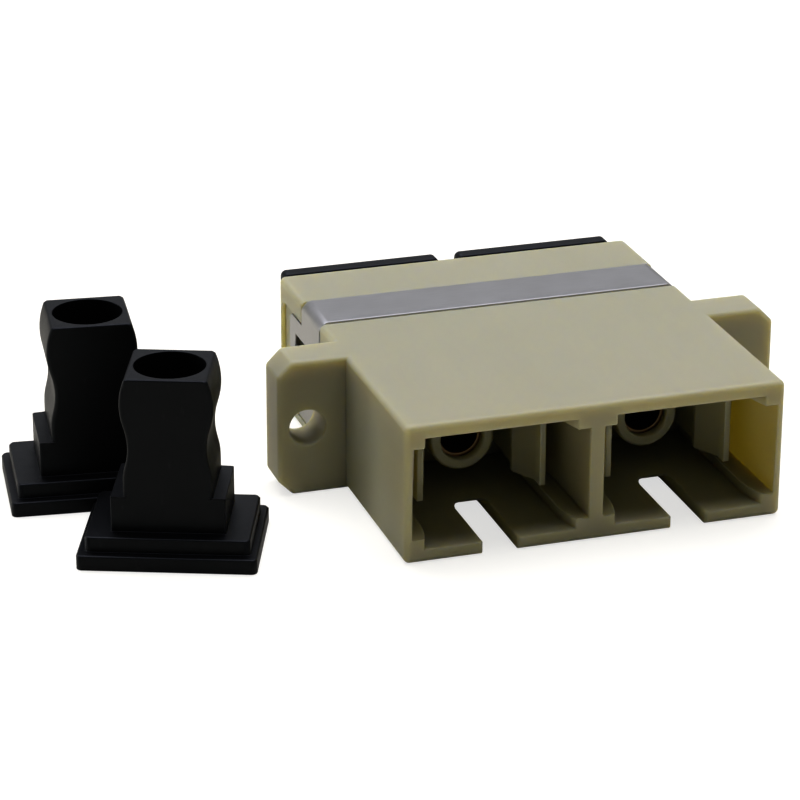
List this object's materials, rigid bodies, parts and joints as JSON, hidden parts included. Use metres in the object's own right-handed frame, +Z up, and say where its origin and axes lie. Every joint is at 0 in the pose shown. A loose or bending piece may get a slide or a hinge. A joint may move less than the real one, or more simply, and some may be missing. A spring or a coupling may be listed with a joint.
{
  "type": "fibre optic adapter",
  "caption": "Duplex fibre optic adapter: flanged moulded housing with two keyed sockets, latching sleeve holders, a spring panel clip and push-in dust caps.",
  "frame": {"origin": "midway between the two panel screw holes, in the plane of the flange's rear face", "axes": "+X across the two sockets, +Y rearwards along the sockets, +Z up, away from the keyways"},
  "size_m": [0.0518, 0.0302, 0.0123],
  "materials": {
    "beige_plastic": "satin moulded",
    "spring_steel": "satin rolled sheet",
    "bronze_sleeve": "drawn phosphor bronze",
    "black_cap_plastic": "semi-gloss moulded"
  },
  "bodies": {
    "adapter": {"outer_housing": "beige_plastic", "front_left_sleeve_holder": "beige_plastic", "front_right_sleeve_holder": "beige_plastic", "rear_left_sleeve_holder": "beige_plastic", "rear_right_sleeve_holder": "beige_plastic", "left_alignment_sleeve": "bronze_sleeve", "right_alignment_sleeve": "bronze_sleeve", "panel_clip": "spring_steel", "loose_front_dust_cap": "black_cap_plastic", "loose_rear_dust_cap": "black_cap_plastic"},
    "rear_left_cap": {"rear_left_dust_cap": "black_cap_plastic"},
    "rear_right_cap": {"rear_right_dust_cap": "black_cap_plastic"}
  },
  "joints": [
    {"name": "rear_left_cap_pull", "type": "slide", "parent": "adapter", "child": "rear_left_cap", "axis": [0, 1, 0], "range_m": [0, 0.012]},
    {"name": "rear_right_cap_pull", "type": "slide", "parent": "adapter", "child": "rear_right_cap", "axis": [0, 1, 0], "range_m": [0, 0.012]}
  ]
}
